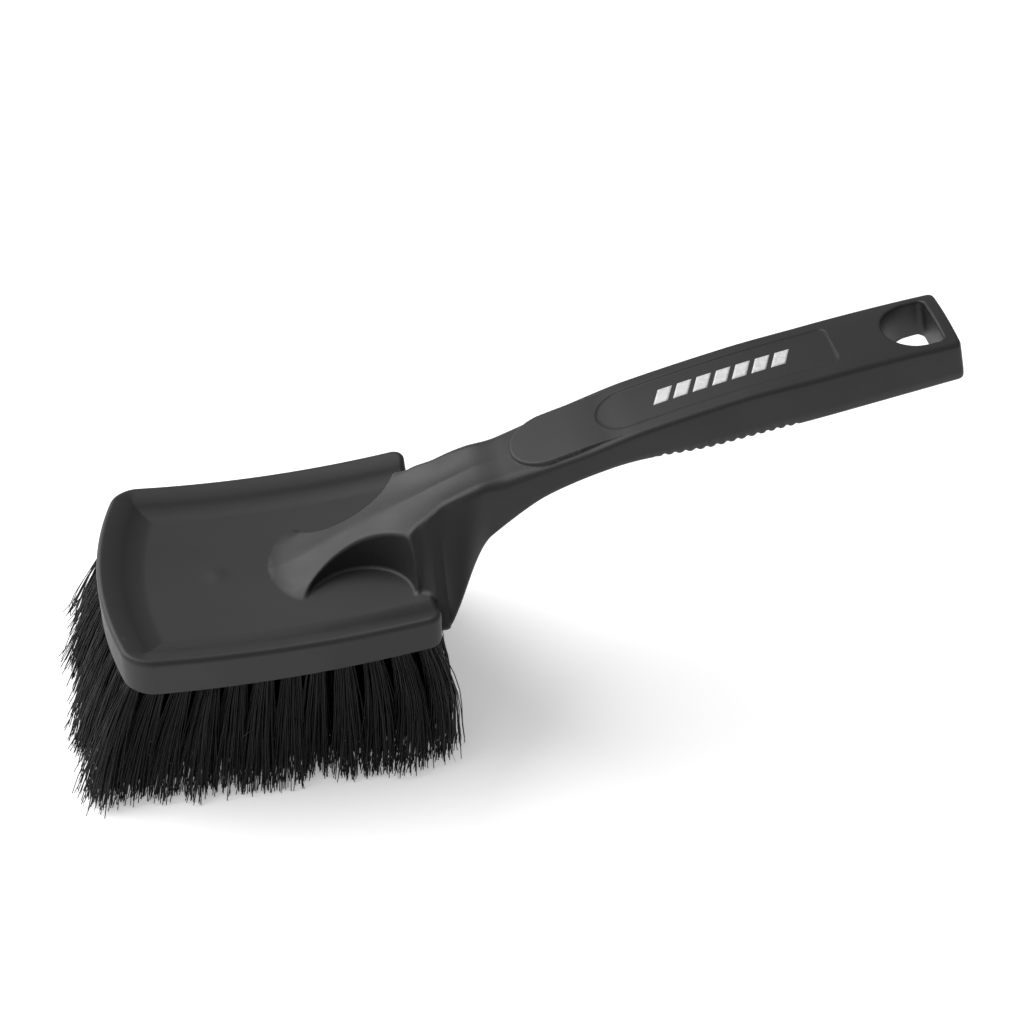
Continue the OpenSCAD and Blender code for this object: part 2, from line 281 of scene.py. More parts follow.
def foot_y(x):
    """Half width of nose, neck and handle at the bottom of each cross-section."""
    short = np.clip((NOSE_START + NOSE_LENGTH - x) / NOSE_LENGTH, 0, 1)
    nose = NOSE_HALF * (1 - short ** 1.8) ** 0.62
    middle = mixed(NOSE_HALF, BEFORE_FOOT_HALF, ease(57, 92, x))
    rear = mixed(BEFORE_FOOT_HALF, FOOT_HALF, ease(FOOT_START, FOOT_END, x))
    spread = np.where(x < NOSE_START + NOSE_LENGTH, nose, np.where(x < FOOT_START, middle, rear))
    return mixed(spread, handle_half(x), ease(103, 123, x))


def ridge_y(x):
    """Half width at the ridge, where the top meets the flank."""
    wide = RIDGE_SHARE * foot_y(x)
    waist_end = RIDGE_SHARE * foot_y(np.array(WAIST_END))
    along = mixed(RIDGE_HALF, handle_half(x) - RIDGE_INSET, ease(124, 150, x))
    rear = mixed(mixed(waist_end, SHOULDER_HALF, ease(WAIST_END, 99, x)), along, ease(99, 108, x))
    return np.where(x < WAIST_END, wide, rear)


def flank_power(x):
    """Below 1 the flank bulges, above 1 it is hollow, as it is at the foot."""
    return mixed(mixed(FULL_FLANK, HOLLOW_FLANK, ease(91, 101, x)), FULL_FLANK, ease(108, 130, x))


def ridge_z(x):
    """Height of the ridge."""
    lift = RIDGE_LIFT * bump(90, 130, x)
    return top_z(x) + lift - 0.5 * ease(126, 140, x) - 0.25 * (1 - ease(47, 60, x))


def grip_wave(x):
    """Depth of the grip grooves along the underside."""
    grip_end = GRIP_START + GRIP_COUNT * GRIP_PITCH
    inside = ease(GRIP_START - 2, GRIP_START, x)
    inside = inside * (1 - ease(grip_end - 3, grip_end, x))
    return GRIP_DEPTH * inside * (0.5 - 0.5 * np.cos(2 * np.pi * (x - GRIP_START) / GRIP_PITCH)) ** 2


def stadium(x, y, start, half):
    """Plan distance to a strip with a round head end."""
    return np.where(x < start + half, np.hypot(x - start - half, y), y) - half


def panel_plan(x, y):
    """Signed plan distance to the outline of the label panel."""
    return round_max(stadium(x, y, PANEL_START, PANEL_HALF), x - PANEL_END, PANEL_CORNER)


def panel_sink(x, y):
    """Depth of the label panel, eased over a millimetre at its outline."""
    return PANEL_DEPTH * ease(0.5, -0.5, panel_plan(x, y))


def neck_surface(x, y):
    """Top surface of the neck and handle over plan position x, |y|, without the raised tongue."""
    zt, zr, e = top_z(x), ridge_z(x), np.maximum(ridge_y(x), 0.35)
    f = np.clip(y / e, 0, 1)
    over = 0.35 * np.maximum(0, y - e)
    hollow = NECK_HOLLOW * bump(80, 132, x) * np.sin(np.pi * f)
    spine = SPINE_HEIGHT * bump(48, 104, x) * np.exp(-(y / SPINE_HALF) ** 2)
    top = mixed(zt, zr, f * f) + spine - hollow - crown(x) * f * f
    return top - step_down(x) - over - panel_sink(x, y)


def side_y(x, z):
    """Half width of the neck and handle at height z."""
    zr, zb = ridge_z(x) - crown(x) - step_down(x), base_z(x)
    depth = (zr - z) / np.maximum(zr - zb, 0.5)
    t = np.clip(depth, 0, 1)
    e, w = ridge_y(x), foot_y(x)
    grip = grip_wave(x)
    low = np.maximum(0, (t - 0.7) / 0.3) ** 1.6
    cut = (1.2 * ease(118, 140, x) + 0.8 * grip) * low
    p = flank_power(x)
    span = (1 + SOFT) ** p - SOFT ** p
    swell = ((t + SOFT) ** p - SOFT ** p) / span
    above = np.clip(depth, -0.3, 0) * p * SOFT ** (p - 1) / span
    return e + (w - e) * (swell + above) - cut


def block_field(x, y, z):
    """The dished block, with the moulding gate mark on its floor."""
    front = np.hypot(x - (FRONT_RADIUS - FRONT_BULGE), y) - FRONT_RADIUS
    plan = round_max(front, y - HALF_BLOCK, FRONT_CORNER)
    whole = round_max(plan, x - BLOCK_LENGTH, REAR_CORNER)
    solid = round_max(round_max(whole, z - crest_z(x), RIM_EDGE), under_z(x) - z, UNDER_EDGE)
    share = 1 / math.hypot(1, RIM_SLOPE / DISH_DEPTH)
    wall = (RIM_WIDTH + RIM_SLOPE * (crest_z(x) - z) / DISH_DEPTH + plan) * share
    gate = GATE_HEIGHT * np.exp(-((x - GATE_X) ** 2 + y ** 2) / GATE_RADIUS ** 2)
    dish = round_max(wall, floor_z(x) + gate - z, DISH_FILLET)
    return round_max(solid, -dish, RIM_INNER_EDGE)


def neck_field(x, y, z):
    """Nose, neck and handle with the two scoops cut out; the grip leans back, so it is read at xs."""
    xs = x - GRIP_LEAN * ease(150, 215, x) * (top_z(x) - z)
    h = 0.4
    w = side_y(xs, z)
    slope_z = (side_y(xs, z + h) - w) / h
    slope_x = (side_y(xs + h, z) - w) / h
    side = (y - w) / np.sqrt(1 + np.minimum(slope_z ** 2 + slope_x ** 2, SIDE_SLOPE_LIMIT))
    side = round_max(side, xs - HANDLE_END, END_CORNER)
    zt = neck_surface(xs, y)
    top = (z - zt) / np.sqrt(1 + ((neck_surface(xs + h, y) - zt) / h) ** 2)
    zb = base_z(xs) + grip_wave(xs)
    slope_b = (base_z(xs + h) - base_z(xs)) / h
    bottom = (zb - z) / np.sqrt(1 + np.minimum(slope_b ** 2, BASE_SLOPE_LIMIT))
    edge = mixed(NOSE_EDGE, HANDLE_EDGE, ease(52, 90, x)) + NECK_EXTRA_EDGE * bump(86, 150, x)
    solid = round_max(round_max(side, top, edge), bottom, UNDERSIDE_EDGE)
    solid = round_max(solid, xs - HANDLE_END, END_EDGE)
    scoop = np.hypot(x - SCOOP_X, y - SCOOP_Y) - SCOOP_RADIUS - SCOOP_DRAFT * (z - floor_z(x))
    return round_max(solid, -scoop, SCOOP_EDGE)


def tongue_field(x, y, z):
    """Raised tongue on the handle, sinking into the top further back."""
    plan = stadium(x, y, TONGUE_START, RIDGE_HALF)
    sunk = TONGUE_SINK * ease(TONGUE_FADE_START, 178, x)
    roof = top_z(x) - 0.1 * (y / RIDGE_HALF) ** 2 - sunk - panel_sink(x, y)
    ends = np.maximum(top_z(x) - TONGUE_DEPTH - z, x - TONGUE_END)
    return np.maximum(round_max(plan, z - roof, TONGUE_EDGE), ends)


def hole_field(x, y, z):
    """D-shaped hanging hole, square to the handle and flared towards the underside."""
    dx, dz = x - HOLE_X, z - top_z(np.array(HOLE_X))
    u = dx * math.cos(HOLE_TILT) + dz * math.sin(HOLE_TILT)
    depth = np.clip(dx * math.sin(HOLE_TILT) - dz * math.cos(HOLE_TILT), 0, HANDLE_DEPTH)
    y = y / (1 + HOLE_FLARE / HOLE_HALF * (depth / HANDLE_DEPTH) ** 1.5)
    back = round_max(y - HOLE_HALF, u - HOLE_FLAT, HOLE_CORNER)
    return np.where(u < 0, np.hypot(u, y) - HOLE_HALF, back)


def body_field(x, y, z):
    """Negative inside the moulded body; millimetres, symmetric about Y = 0."""
    y = np.abs(y)
    neck = round_min(neck_field(x, y, z), tongue_field(x, y, z), TONGUE_FILLET)
    body = round_min(block_field(x, y, z), neck, NECK_FILLET)
    return round_max(body, -hole_field(x, y, z), HOLE_EDGE)


# ---------------------------------------------------------------- surface net
def sampled(field, low, counts, step):
    """The field on a grid, worked out in full only near the surface."""
    coarse = 4
    blocks = [math.ceil(c / coarse) for c in counts]
    axes = [low[a] + step * coarse * (np.arange(blocks[a] + 1)) for a in range(3)]
    rough = field(*np.meshgrid(*axes, indexing="ij")).astype(np.float32)
    reach = step * coarse * 2.4
    near = np.abs(rough) < reach
    cell = np.zeros(blocks, bool)
    for i in (0, 1):
        for j in (0, 1):
            for k in (0, 1):
                cell |= near[i:i + blocks[0], j:j + blocks[1], k:k + blocks[2]]
    full = np.repeat(np.repeat(np.repeat(rough[:-1, :-1, :-1], coarse, 0), coarse, 1), coarse, 2)
    mask = np.repeat(np.repeat(np.repeat(cell, coarse, 0), coarse, 1), coarse, 2)
    where = np.nonzero(mask)
    chunk = 400_000
    for s in range(0, len(where[0]), chunk):
        at = tuple(w[s:s + chunk] for w in where)
        full[at] = field(*(low[a] + step * at[a] for a in range(3)))
    return full


def surface_net(field, low, high, step):
    """Vertices and quads of the zero surface, one vertex to a crossed cell."""
    low = np.array(low, float)
    counts = [int(math.ceil((high[a] - low[a]) / step)) + 1 for a in range(3)]
    f = sampled(field, low, counts, step)
    shape = f.shape
    inside = f < 0
    total = np.zeros([n - 1 for n in shape], np.uint8)
    corners = [(i, j, k) for i in (0, 1) for j in (0, 1) for k in (0, 1)]
    for i, j, k in corners:
        total += inside[i:shape[0] - 1 + i, j:shape[1] - 1 + j, k:shape[2] - 1 + k]
    cells = np.array(np.nonzero((total > 0) & (total < 8))).T
    index = np.full(total.shape, -1, np.int64)
    index[tuple(cells.T)] = np.arange(len(cells))
    place, hits = np.zeros((len(cells), 3)), np.zeros(len(cells))
    for a in corners:
        for axis in range(3):
            if a[axis]:
                continue
            b = tuple(1 if n == axis else a[n] for n in range(3))
            fa = f[tuple((cells + a).T)].astype(float)
            fb = f[tuple((cells + b).T)].astype(float)
            crossed = (fa < 0) != (fb < 0)
            t = np.where(crossed, fa / np.where(crossed, fa - fb, 1), 0)
            point = cells + np.array(a, float)
            point[:, axis] += t
            place += point * crossed[:, None]
            hits += crossed
    verts = low + step * place / hits[:, None]
    quads = []
    for axis in range(3):
        u, v = [n for n in range(3) if n != axis]
        here = [slice(None)] * 3
        there = [slice(None)] * 3
        here[axis] = slice(0, shape[axis] - 1)
        there[axis] = slice(1, shape[axis])
        change = inside[tuple(here)] != inside[tuple(there)]
        e = np.array(np.nonzero(change)).T
        e = e[(e[:, u] > 0) & (e[:, v] > 0) & (e[:, u] < shape[u] - 1) & (e[:, v] < shape[v] - 1)]
        ring = []
        for du, dv in ((-1, -1), (0, -1), (0, 0), (-1, 0)):
            c = e.copy()
            c[:, u] += du
            c[:, v] += dv
            ring.append(index[tuple(c.T)])
        q = np.array(ring).T
        flip = inside[tuple(e.T)] if axis != 1 else ~inside[tuple(e.T)]
        q[~flip] = q[~flip][:, ::-1]
        quads.append(q)
    return verts, np.concatenate(quads)


def gradient(field, p, h):
    """Slopes of the field at points p."""
    g = np.empty_like(p)
    for a in range(3):
        d = np.zeros(3)
        d[a] = h
        g[:, a] = (field(*(p + d).T) - field(*(p - d).T)) / (2 * h)
    return g


def settled(field, p, reach):
    """Points moved onto the zero surface, no further than reach in all."""
    start = p.copy()
    for _ in range(4):
        g = gradient(field, p, 0.04)
        move = -field(*p.T)[:, None] * g / np.maximum((g * g).sum(1), 0.05)[:, None]
        p = start + np.clip(p + move - start, -reach, reach)
    return p


def mesh_from(name, verts, faces, normals=None):
    """A mesh object from arrays; faces all have the same number of corners."""
    mesh = bpy.data.meshes.new(name)
    sides = faces.shape[1]
    mesh.vertices.add(len(verts))
    mesh.vertices.foreach_set("co", np.ascontiguousarray(verts, np.float32).ravel())
    mesh.loops.add(faces.size)
    mesh.loops.foreach_set("vertex_index", np.ascontiguousarray(faces, np.int32).ravel())
    mesh.polygons.add(len(faces))
    mesh.polygons.foreach_set("loop_start", np.arange(0, faces.size, sides, dtype=np.int32))
    mesh.update(calc_edges=True)
    mesh.polygons.foreach_set("use_smooth", np.ones(len(faces), bool))
    if normals is not None:
        mesh.normals_split_custom_set_from_vertices(normals.tolist())
    obj = bpy.data.objects.new(name, mesh)
    bpy.context.scene.collection.objects.link(obj)
    return obj


def add_values(obj, name, values):
    """A number stored on every vertex, for the materials to read."""
    layer = obj.data.attributes.new(name, "FLOAT", "POINT")
    layer.data.foreach_set("value", np.ascontiguousarray(values, np.float32))


# ---------------------------------------------------------------- materials
class Nodes:
    """Short names for building a node material."""

    def __init__(self, name):
        self.material = bpy.data.materials.new(name)
        self.material.use_nodes = True
        self.tree = self.material.node_tree
        self.shader = self.tree.nodes["Principled BSDF"]
        self.coords = self.add("ShaderNodeTexCoord").outputs["Object"]

    def add(self, kind, **values):
        node = self.tree.nodes.new(kind)
        for key, value in values.items():
            setattr(node, key, value)
        return node

    def link(self, a, b):
        self.tree.links.new(a, b)

    def noise(self, scale, detail=4.0, rough=0.55, stretch=None):
        node = self.add("ShaderNodeTexNoise")
        node.inputs["Scale"].default_value = scale
        node.inputs["Detail"].default_value = detail
        node.inputs["Roughness"].default_value = rough
        source = self.coords
        if stretch:
            mapping = self.add("ShaderNodeMapping")
            mapping.inputs["Scale"].default_value = stretch
            self.link(source, mapping.inputs["Vector"])
            source = mapping.outputs["Vector"]
        self.link(source, node.inputs["Vector"])
        return node.outputs["Fac"]

    def ramp(self, source, stops):
        node = self.add("ShaderNodeValToRGB")
        while len(node.color_ramp.elements) < len(stops):
            node.color_ramp.elements.new(0.5)
        for element, (at, colour) in zip(node.color_ramp.elements, stops):
            element.position = at
            element.color = (*colour, 1) if isinstance(colour, tuple) else (colour, colour, colour, 1)
        self.link(source, node.inputs["Fac"])
        return node.outputs["Color"]

    def mix(self, kind, factor, a, b):
        node = self.add("ShaderNodeMix", data_type="RGBA", blend_type=kind)
        for socket, value in ((node.inputs[0], factor), (node.inputs[6], a), (node.inputs[7], b)):
            if hasattr(value, "node"):
                self.link(value, socket)
            elif isinstance(value, tuple):
                socket.default_value = (*value, 1)
            else:
                socket.default_value = value
        return node.outputs[2]

    def line(self, name, half_width):
        """1 along the zero line of a stored distance in millimetres, fading to 0 over half_width."""
        source = self.add("ShaderNodeAttribute", attribute_name=name).outputs["Fac"]
        size = self.add("ShaderNodeMath", operation="ABSOLUTE")
        self.link(source, size.inputs[0])
        fall = self.add("ShaderNodeMapRange", interpolation_type="SMOOTHSTEP")
        fall.inputs["From Max"].default_value = half_width
        fall.inputs["To Min"].default_value = 1.0
        fall.inputs["To Max"].default_value = 0.0
        self.link(size.outputs[0], fall.inputs["Value"])
        return fall.outputs["Result"]

    def bumps(self, *layers):
        """Layers of (height, strength, distance in metres), the coarsest first."""
        normal = None
        for height, strength, distance in layers:
            node = self.add("ShaderNodeBump")
            node.inputs["Strength"].default_value = strength
            node.inputs["Distance"].default_value = distance
            self.link(height, node.inputs["Height"])
            if normal:
                self.link(normal, node.inputs["Normal"])
            normal = node.outputs["Normal"]
        self.link(normal, self.shader.inputs["Normal"])


BODY_DARK = (0.0125, 0.0125, 0.0128)
BODY_PALE = (0.0165, 0.0165, 0.0169)
BODY_WORN = (0.042, 0.042, 0.043)
# Painted shade colour for the thin dark lines along the panel and tongue outlines.
BODY_PAINTED_OUTLINE_SHADE = (0.006, 0.006, 0.006)
FILAMENT_DARK = (0.0008, 0.0008, 0.0009)
FILAMENT_PALE = (0.0050, 0.0050, 0.0052)
FLAGGED_TIP = (0.009, 0.009, 0.0092)


def body_plastic():
    """Satin moulded polypropylene: fine spark grain, faint flow marks, polished and paler edges, and thin
    dark lines of painted shade along the panel and tongue outlines.
    """
    m = Nodes("body_plastic")
    broad = m.noise(14, 3)
    flow = m.noise(60, 3, stretch=(0.35, 1, 1))
    base = m.ramp(broad, [(0.3, BODY_DARK), (0.7, BODY_PALE)])
    base = m.mix("MULTIPLY", 0.5, base, m.ramp(flow, [(0.3, 0.90), (0.7, 1.08)]))
    edge = m.add("ShaderNodeNewGeometry").outputs["Pointiness"]
    worn = m.ramp(edge, [(0.52, 0.0), (0.60, 1.0)])
    patchy = m.mix("MULTIPLY", 1.0, worn, m.ramp(m.noise(220, 4), [(0.38, 0.15), (0.62, 0.8)]))
    base = m.mix("MIX", patchy, base, BODY_WORN)
    # Thin dark lines along the panel and tongue outlines are painted shade, standing in for the shadow in
    # the shallow steps there; the same masks also dent the outlines through the bump below.
    panel, tongue = m.line("panel_edge", LINE_WIDTH), m.line("tongue_edge", 1.6 * LINE_WIDTH)
    base = m.mix("MIX", panel, base, BODY_PAINTED_OUTLINE_SHADE)
    base = m.mix("MIX", tongue, base, BODY_PAINTED_OUTLINE_SHADE)
    m.link(base, m.shader.inputs["Base Color"])
    patches = m.ramp(m.noise(35, 4), [(0.35, 0.0), (0.65, 1.0)])
    rough = m.mix("MIX", patches, (0.46, 0.46, 0.46), (0.55, 0.55, 0.55))
    m.link(rough, m.shader.inputs["Roughness"])
    m.shader.inputs["Specular IOR Level"].default_value = 0.38
    grooves = m.mix("ADD", 1.0, panel, tongue)
    sunk = m.ramp(grooves, [(0.0, 1.0), (1.0, 0.0)])
    m.bumps((flow, 0.12, 0.0004), (sunk, 0.5, 0.0002), (m.noise(2600, 2, 0.5), 0.10, 0.00010))
    return m.material


def bristle_plastic():
    """Extruded filament: near-black, greyer and duller where the tips are flagged."""
    m = Nodes("bristle_filament")
    height = m.add("ShaderNodeSeparateXYZ")
    m.link(m.coords, height.inputs["Vector"])
    tip_span = m.add("ShaderNodeMapRange")
    tip_span.inputs["From Min"].default_value = 0.0
    tip_span.inputs["From Max"].default_value = 0.014
    tip_span.inputs["To Min"].default_value = 1.0
    tip_span.inputs["To Max"].default_value = 0.0
    m.link(height.outputs["Z"], tip_span.inputs["Value"])
    strand = m.noise(900, 2, stretch=(1, 1, 0.04))
    base = m.ramp(strand, [(0.40, FILAMENT_DARK), (0.75, FILAMENT_PALE)])
    base = m.mix("MIX", tip_span.outputs["Result"], base, m.mix("ADD", 1.0, base, FLAGGED_TIP))
    m.link(base, m.shader.inputs["Base Color"])
    m.shader.inputs["Specular IOR Level"].default_value = 0.32
    rough = m.ramp(strand, [(0.3, 0.30), (0.7, 0.44)])
    m.link(rough, m.shader.inputs["Roughness"])
    m.bumps((m.noise(3000, 2, stretch=(1, 1, 0.1)), 0.15, 0.00005))
    return m.material


def printed_white():
    """Screen-printed white ink with slight cover variation."""
    m = Nodes("printed_white")
    cover = m.noise(900, 4)
    ink = m.ramp(cover, [(0.3, (0.46, 0.46, 0.46)), (0.6, (0.60, 0.60, 0.595))])
    m.link(ink, m.shader.inputs["Base Color"])
    m.link(m.ramp(m.noise(300, 3), [(0.3, 0.45), (0.7, 0.6)]), m.shader.inputs["Roughness"])
    m.bumps((cover, 0.1, 0.00005))
    return m.material


def drawn_wire():
    """Flat drawn steel wire with lengthwise lines."""
    m = Nodes("drawn_wire")
    lines = m.noise(4000, 3, stretch=(1, 0.05, 1))
    steel = m.ramp(lines, [(0.3, (0.42, 0.42, 0.43)), (0.7, (0.66, 0.66, 0.67))])
    m.link(steel, m.shader.inputs["Base Color"])
    m.link(m.ramp(lines, [(0.3, 0.28), (0.7, 0.42)]), m.shader.inputs["Roughness"])
    m.shader.inputs["Metallic"].default_value = 1.0
    m.bumps((lines, 0.2, 0.00005))
    return m.material


def studio_floor():
    """Seamless pale paper."""
    m = Nodes("studio_floor")
    paper = m.ramp(m.noise(3, 3), [(0.3, (0.93, 0.93, 0.93)), (0.7, (0.95, 0.95, 0.95))])
    m.link(paper, m.shader.inputs["Base Color"])
    m.link(m.ramp(m.noise(40, 3), [(0.3, 0.85), (0.7, 0.95)]), m.shader.inputs["Roughness"])
    m.bumps((m.noise(400, 3), 0.03, 0.0002))
    m.shader.inputs["Emission Color"].default_value = (1, 1, 1, 1)
    m.shader.inputs["Emission Strength"].default_value = FLOOR_GLOW
    return m.material


# ---------------------------------------------------------------- moulded body
STEP = 0.6
TONGUE_LINE_END = 166.0
FAR_AWAY = 9.0


def make_body(material):
    low = BODY_LOW - SHIFT - 2
    high = BODY_HIGH - SHIFT + 2
    verts, quads = surface_net(body_field, low, high, STEP)
    verts = settled(body_field, verts, STEP * 0.6)
    normals = gradient(body_field, verts, 0.12)
    normals /= np.maximum(np.linalg.norm(normals, axis=1), 1e-9)[:, None]
    obj = mesh_from("moulded_body", to_row(verts), quads, normals)
    x, y = verts[:, 0], np.abs(verts[:, 1])
    on_top = (x > TONGUE_START - 4) & (normals[:, 2] > 0.5)
    near_head = on_top & (x < TONGUE_LINE_END)
    tongue = stadium(x, y, TONGUE_START, RIDGE_HALF) - 0.1
    # Plan distances to the panel and tongue outlines; the material paints thin lines of shade along their
    # zero lines and dents them with a bump.
    add_values(obj, "panel_edge", np.where(on_top, panel_plan(x, y), FAR_AWAY))
    add_values(obj, "tongue_edge", np.where(near_head, tongue, FAR_AWAY))
    obj.data.materials.append(material)
    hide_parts("brush_body")
    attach(obj, "root")
    return obj


# ---------------------------------------------------------------- printed mark
INK_THICKNESS = 0.00008


def make_mark(material):
    """A row of plain slanted bars lying on the label panel."""
    bars, bar_width, gap, half, slant = 7, 4.8, 1.7, 3.4, 1.5
    start = 179.6
    lift = 0.06
    along, across = 7, 7
    verts, faces = [], []
    for b in range(bars):
        x0 = start + b * (bar_width + gap)
        base = len(verts)
        for i in range(along):
            for j in range(across):
                y = mixed(-half, half, j / (across - 1))
                x = x0 + bar_width * i / (along - 1) + slant * y / half
                z = float(neck_surface(np.array(x), np.array(abs(y)))) + lift
                verts.append((x, y, z))
        for i in range(along - 1):
            for j in range(across - 1):
                a = base + i * across + j
                faces.append((a, a + across, a + across + 1, a + 1))
    obj = mesh_from("printed_mark", to_row(verts), np.array(faces))
    thick = obj.modifiers.new("ink", "SOLIDIFY")
    thick.thickness = INK_THICKNESS
    thick.offset = -1
    obj.data.materials.append(material)
    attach(obj, "root")
    return obj


# ---------------------------------------------------------------- bristles
ROWS = 12
ACROSS = 9
TUFT_PITCH = 9.2
FIRST_ROW = 1.2
LAST_ROW = 94.6
ROW_BOW = 2.0
ROOT_RADIUS = 2.25
TIP_RADIUS = 7.2
TUFT_LENGTH = 50.0
FRONT_LEAN = 23.0
REAR_LEAN = 7.0
SIDE_LEAN = 9.0
GROUND = -SHIFT[2]
FILAMENTS = 130
FLAGS = 46
SEGMENTS = 7
FILAMENT_RADIUS = 0.2
FLAG_RADIUS = 0.085
STRAY_RADIUS = 0.16
ROOT_BURIED = 1.5
# Askew and straightening are in degrees; the end rows bow outwards and straighten towards the tips.
ASKEW = 1.3
FRONT_BOW = 3.0
REAR_BOW = 3.5
FRONT_STRAIGHTEN = 4.0
REAR_STRAIGHTEN = 3.0
TIP_SPLAY = 5.0
TIP_SPLAY_START = 0.84
TRIM_SPREAD = 0.9
FLAG_TRIM_SPREAD = 0.4


def tuft_places(row, rng):
    """Root positions and leans of one cross row, as drilled in the block, each set a little askew."""
    y = (np.arange(ACROSS) - (ACROSS - 1) / 2) * TUFT_PITCH
    x = FIRST_ROW + (row - 1) * (LAST_ROW - FIRST_ROW) / (ROWS - 1) + np.zeros(ACROSS)
    if row == 1:
        x = x - ROW_BOW * (1 - 2 * (y / HALF_BLOCK) ** 2)
    back = mixed(FRONT_LEAN, -REAR_LEAN, ((row - 1) / (ROWS - 1)) ** 0.8)
    back = back - FRONT_STRAIGHTEN * (1 - (y / HALF_BLOCK) ** 2) * (4 - row) / 3 * (row < 4)
    back = back + REAR_STRAIGHTEN * float(ease(8, ROWS, row))
    side = SIDE_LEAN * y / (TUFT_PITCH * (ACROSS - 1) / 2)
    askew = rng.normal(0, ASKEW, (2, ACROSS))
    return x, y, np.radians(back + askew[0]), np.radians(side + askew[1])


def trimmed(p, floor):
    """Lines cut off where they would pass the trim plane, their points spread again along what is left."""
    last = p.shape[1] - 1
    low = p[:, -1:, 2]
    share = np.where(low < floor, (p[:, :1, 2] - floor) / (p[:, :1, 2] - low), 1)
    t = np.linspace(0, 1, last + 1)[None] * np.clip(share, 0.05, 1) * last
    k = np.minimum(t.astype(int), last - 1)
    f = (t - k)[..., None]
    at = np.arange(len(p))[:, None]
    return p[at, k] * (1 - f) + p[at, k + 1] * f


def filament_lines(row, rng):
    """Centre lines of every filament in a row: (filament, point, xyz)."""
    lines = []
    for x0, y0, b, a in zip(*tuft_places(row, rng)):
        down = np.array([-math.cos(a) * math.sin(b), math.sin(a), -math.cos(a) * math.cos(b)])
        u = np.cross([0, 1.0, 0], down)
        u /= np.linalg.norm(u)
        v = np.cross(down, u)
        n = FILAMENTS
        turn = rng.uniform(0, 2 * np.pi, n)
        out = np.sqrt(rng.uniform(0, 1, n))
        spread = out * rng.uniform(0.8, 1.15, n)
        length = TUFT_LENGTH * (1 + rng.normal(0, 0.012, n)) + rng.uniform(-0.8, 0.8)
        t = np.linspace(0, 1, SEGMENTS + 1)
        radial = ROOT_RADIUS * out[:, None] + (TIP_RADIUS - ROOT_RADIUS) * spread[:, None] * t[None] ** 0.85
        wander = rng.normal(0, 1.0, (n, 2, 1)) * t ** 2
        phase = rng.uniform(0, 2 * np.pi, (n, 2, 1))
        wave = np.sin(rng.uniform(5, 9, (n, 2, 1)) * t + phase) * np.minimum(1, 3 * t)
        shift = wander + rng.uniform(0.1, 0.4, (n, 2, 1)) * wave
        shift = shift + rng.normal(0, TIP_SPLAY, (n, 2, 1)) * np.maximum(0, t - TIP_SPLAY_START)
        bow = FRONT_BOW * max(0.0, math.sin(b)) - REAR_BOW * float(ease(8, ROWS, row))
        shift[:, 0] += bow * np.sin(np.pi * t)
        cu = radial * np.cos(turn)[:, None] + shift[:, 0]
        cv = radial * np.sin(turn)[:, None] + shift[:, 1]
        root = np.array([x0, y0, float(under_z(np.array(x0)))]) - down * ROOT_BURIED
        reach = (length[:, None] * t)[..., None]
        lines.append(root + reach * down + cu[..., None] * u + cv[..., None] * v)
    p = np.concatenate(lines)
    return trimmed(p, GROUND + np.abs(rng.normal(0, TRIM_SPREAD, len(p)))[:, None])


def flag_lines(lines, rng):
    """Split ends: fine short hairs leaving the last stretch of some filaments."""
    count = FLAGS * ACROSS
    pick = lines[rng.integers(0, len(lines), count)]
    start = mixed(pick[:, -2], pick[:, -1], rng.uniform(0.0, 0.9, count)[:, None])
    along = pick[:, -1] - pick[:, -3]
    along /= np.maximum(np.linalg.norm(along, axis=1), 1e-9)[:, None]
    first = along + rng.normal(0, 0.22, (count, 3))
    second = first + rng.normal(0, 0.38, (count, 3))
    reach = rng.uniform(1.6, 4.2, count)[:, None]
    middle = start + first * reach * 0.5
    p = np.stack([start, middle, middle + second * reach * 0.5], 1)
    return trimmed(p, GROUND + np.abs(rng.normal(0, FLAG_TRIM_SPREAD, count))[:, None])


def tubes(lines, radius, taper, sides=4):
    """Closed thin square tubes along lines (n, points, 3)."""
    n, m, _ = lines.shape
    tangent = np.gradient(lines, axis=1)
    tangent /= np.maximum(np.linalg.norm(tangent, axis=2), 1e-9)[..., None]
    u = np.cross(tangent, [0.0, 1.0, 0.0])
    u /= np.maximum(np.linalg.norm(u, axis=2), 1e-9)[..., None]
    v = np.cross(tangent, u)
    angle = 2 * np.pi * np.arange(sides) / sides
    width = radius * np.linspace(1, taper, m)[None, :, None, None]
    ring = np.cos(angle)[:, None] * u[:, :, None] + np.sin(angle)[:, None] * v[:, :, None]
    verts = (lines[:, :, None] + width * ring).reshape(-1, 3)
    start = (np.arange(n) * m * sides)[:, None, None]
    step = (np.arange(m - 1) * sides)[None, :, None]
    j = np.arange(sides)[None, None]
    a = start + step + j
    b = start + step + (j + 1) % sides
    wall = np.stack([a, a + sides, b + sides, b], -1).reshape(-1, 4)
    ends = np.array([np.arange(sides)[::-1], (m - 1) * sides + np.arange(sides)])
    caps = (start.reshape(-1, 1, 1) + ends[None]).reshape(-1, sides)
    return verts, np.concatenate([wall, caps])


def stray_line():
    """One loose curled fibre lying on the near face of the bristles."""
    t = np.linspace(0, 1, SEGMENTS + 1)
    x = mixed(33.2, 37.6, t) + 0.4 * np.sin(7 * t)
    y = -50.8 + 0.5 * np.cos(5 * t)
    z = mixed(-31.4, -27.7, t) + 0.9 * np.sin(3.4 * t)
    return np.stack([x, y, z], 1)[None]


